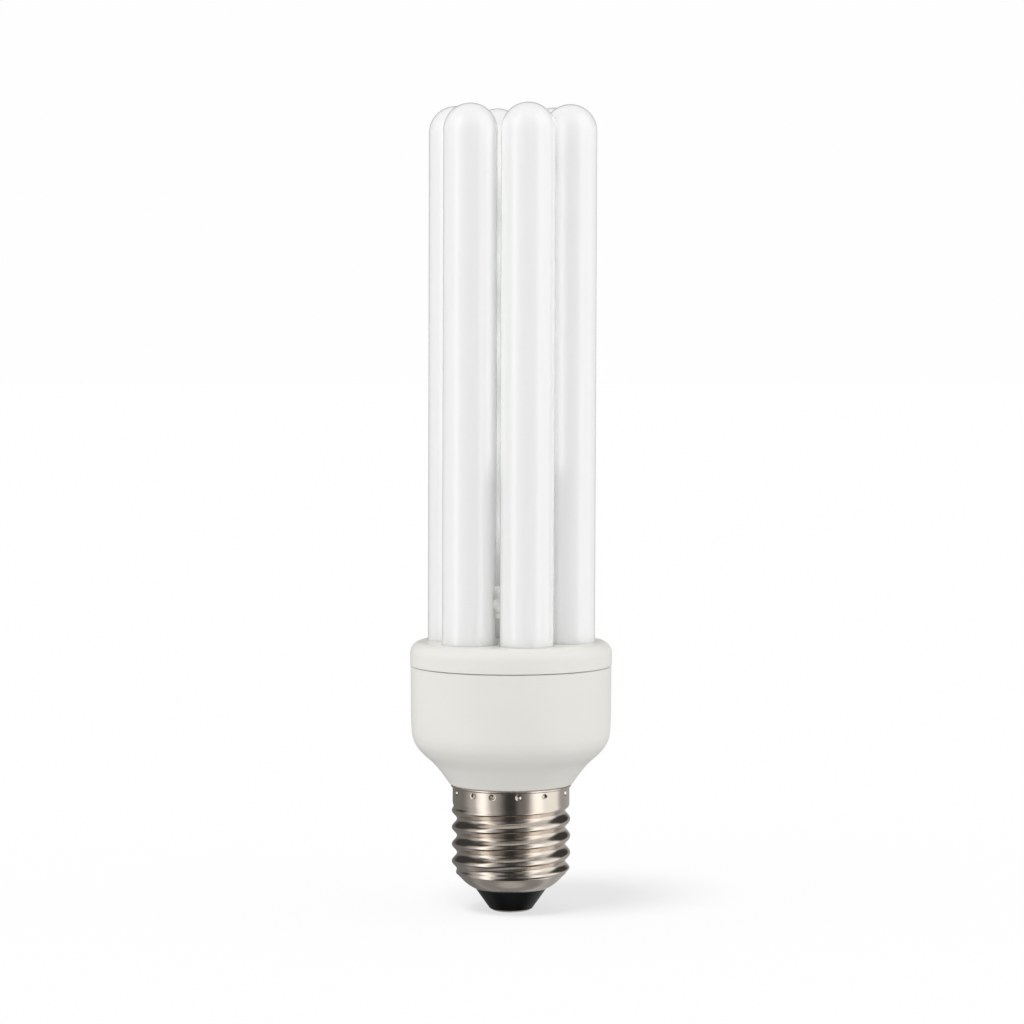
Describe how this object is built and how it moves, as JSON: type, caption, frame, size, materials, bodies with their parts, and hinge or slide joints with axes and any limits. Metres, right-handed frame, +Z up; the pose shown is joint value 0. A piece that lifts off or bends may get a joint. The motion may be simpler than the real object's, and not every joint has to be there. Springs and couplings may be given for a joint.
{
  "type": "compact fluorescent bulb",
  "caption": "Compact fluorescent bulb with a ring of upright bridged glass fingers on a rounded plastic ballast housing and a rolled screw cap.",
  "frame": {"origin": "lowest point of the centre contact, on the lamp's axis", "axes": "+Z up the lamp's axis from the cap to the finger tips, -Y towards the camera of the picture, +X to its right"},
  "size_m": [0.0446, 0.0446, 0.1779],
  "materials": {
    "coated_glass": "gloss",
    "housing_plastic": "satin",
    "cap_metal": "bright nickel",
    "black_glass": "gloss",
    "cement": "matte",
    "amalgam": "satin",
    "aluminium_can": "sleeved",
    "rubber_seal": "matte",
    "tinned_wire": "satin",
    "lead_in_wire": "satin",
    "solder": "satin",
    "bobbin_plastic": "matte",
    "ferrite": "matte",
    "enamelled_wire": "satin",
    "board_laminate": "matte",
    "dipped_resin": "gloss",
    "resistor_body": "satin",
    "black_resin": "matte",
    "diode_glass": "gloss"
  },
  "bodies": {
    "root": {"amalgam_pellet": "amalgam", "ballast_housing": "housing_plastic", "capacitor_can": "aluminium_can", "capacitor_leads": "tinned_wire", "capacitor_seal": "rubber_seal", "centre_contact": "cap_metal", "centre_wire": "tinned_wire", "choke_bobbin": "bobbin_plastic", "choke_core": "ferrite", "choke_winding": "enamelled_wire", "circuit_board": "board_laminate", "diode_leads": "tinned_wire", "discharge_vessel": "coated_glass", "drive_ring": "ferrite", "drive_windings": "enamelled_wire", "electrode_leads_back": "lead_in_wire", "electrode_leads_right": "lead_in_wire", "filaments": "lead_in_wire", "film_capacitor_leads": "tinned_wire", "film_capacitors": "dipped_resin", "filter_choke": "ferrite", "filter_winding": "enamelled_wire", "fusible_resistor": "resistor_body", "insulator": "black_glass", "rectifier_diodes": "black_resin", "resistor_leads": "tinned_wire", "resistors": "resistor_body", "screw_shell": "cap_metal", "shell_wire": "tinned_wire", "solder_joints": "solder", "thermistor": "resistor_body", "thermistor_leads": "tinned_wire", "transistor_leads": "tinned_wire", "transistors": "black_resin", "trigger_diode": "diode_glass", "trigger_leads": "tinned_wire", "tube_cement": "cement", "tube_cover": "housing_plastic", "wrap_pins": "tinned_wire"}
  },
  "joints": []
}
